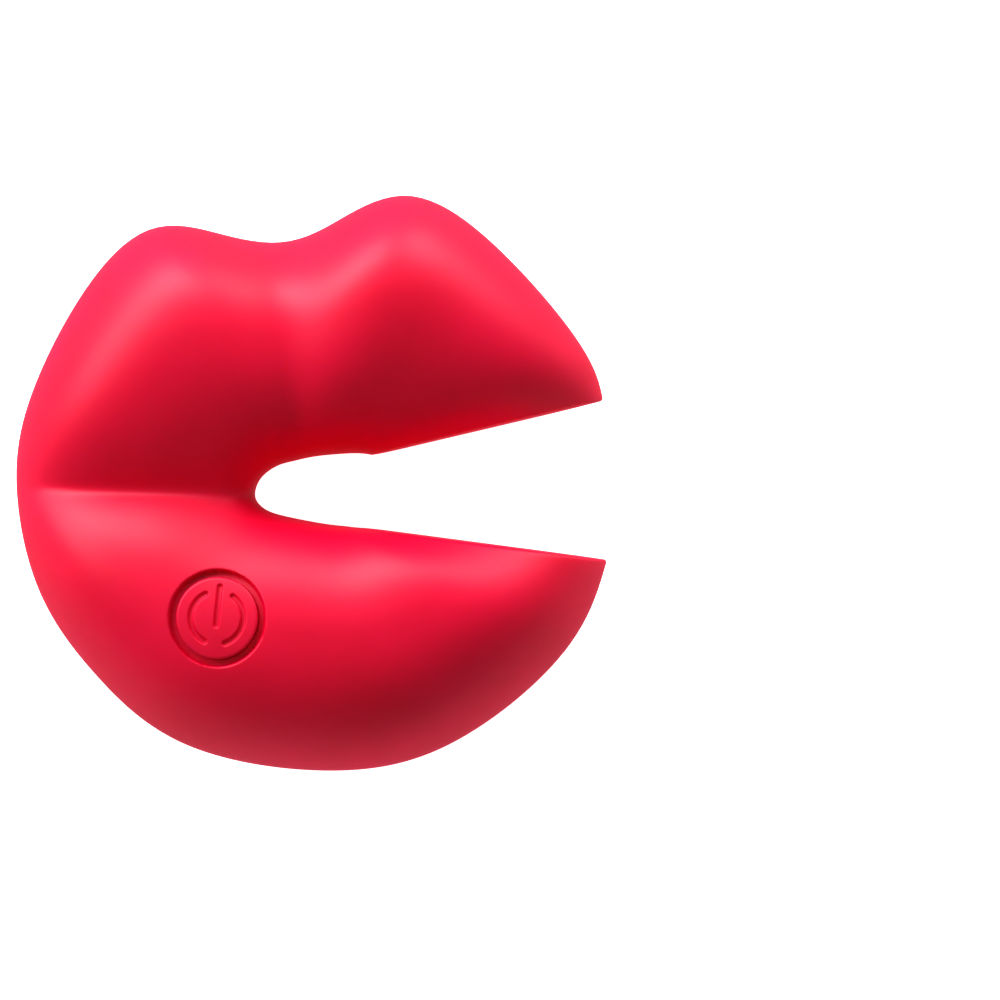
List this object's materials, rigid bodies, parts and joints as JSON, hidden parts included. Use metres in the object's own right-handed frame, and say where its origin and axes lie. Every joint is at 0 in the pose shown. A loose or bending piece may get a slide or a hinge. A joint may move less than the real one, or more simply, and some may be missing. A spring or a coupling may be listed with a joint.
{
  "type": "lip-shaped silicone massager",
  "caption": "Soft silicone handheld massager shaped like a pair of lips, with an open mouth slit, a round button on the lower lip and a flat back.",
  "frame": {"origin": "middle of the outline in plan, on the plane of the flat back", "axes": "+X along the mouth to its open corner, +Y up to the bow of the upper lip, +Z out of the front of the lips"},
  "size_m": [0.0618, 0.0587, 0.0225],
  "materials": {
    "silicone": "matte soft-touch red silicone with a faint sheen",
    "core_plastic": "plain moulded plastic",
    "steel": "drawn steel",
    "gold_contact": "gold plated",
    "cell_wrap": "shrink film",
    "foam": "closed-cell foam",
    "board": "solder mask",
    "black_plastic": "moulded",
    "clear_resin": "clear",
    "ferrite": "sintered",
    "white_rubber": "moulded",
    "copper": "wound wire and laminations",
    "red_wire": "insulation",
    "black_wire": "insulation"
  },
  "bodies": {
    "lower_lip": {"lower_sleeve": "silicone", "lower_core_front": "core_plastic", "lower_core_back": "core_plastic", "battery_cell": "cell_wrap", "battery_foam_pad": "foam", "circuit_board": "board", "switch_body": "black_plastic", "control_chip": "black_plastic", "status_led": "clear_resin", "contact_seat": "black_plastic", "charge_contact_left": "gold_contact", "charge_contact_right": "gold_contact", "lower_screw_middle": "steel", "lower_screw_right": "steel", "motor_lead_red_lower": "red_wire", "motor_lead_black_lower": "black_wire"},
    "upper_lip": {"upper_sleeve": "silicone", "upper_core_front": "core_plastic", "upper_core_back": "core_plastic", "motor_can": "steel", "motor_magnet": "ferrite", "motor_end_cap": "black_plastic", "motor_boot": "white_rubber", "upper_screw_left": "steel", "upper_screw_right": "steel", "motor_lead_red_upper": "red_wire", "motor_lead_black_upper": "black_wire"},
    "rotor": {"motor_shaft": "steel", "motor_armature": "copper", "eccentric_weight": "steel"},
    "button": {"button_pad": "silicone", "button_plunger": "core_plastic", "switch_stem": "white_rubber"}
  },
  "joints": [
    {"name": "corner_flex", "type": "hinge", "parent": "lower_lip", "child": "upper_lip", "pos_m": [-0.0187, 0.0022, 0.0106], "axis": [0, 0, 1], "range_deg": [-8, 8], "stiffness_Nm_per_rad": 0.6},
    {"name": "motor_spin", "type": "hinge", "parent": "upper_lip", "child": "rotor", "pos_m": [0.0053, 0.0146, 0.0107], "axis": [1, 0, 0], "continuous": true},
    {"name": "button_press", "type": "slide", "parent": "lower_lip", "child": "button", "axis": [0.0586, -0.0802, -0.9951], "range_m": [0, 0.0005], "stiffness_N_per_m": 1500}
  ]
}
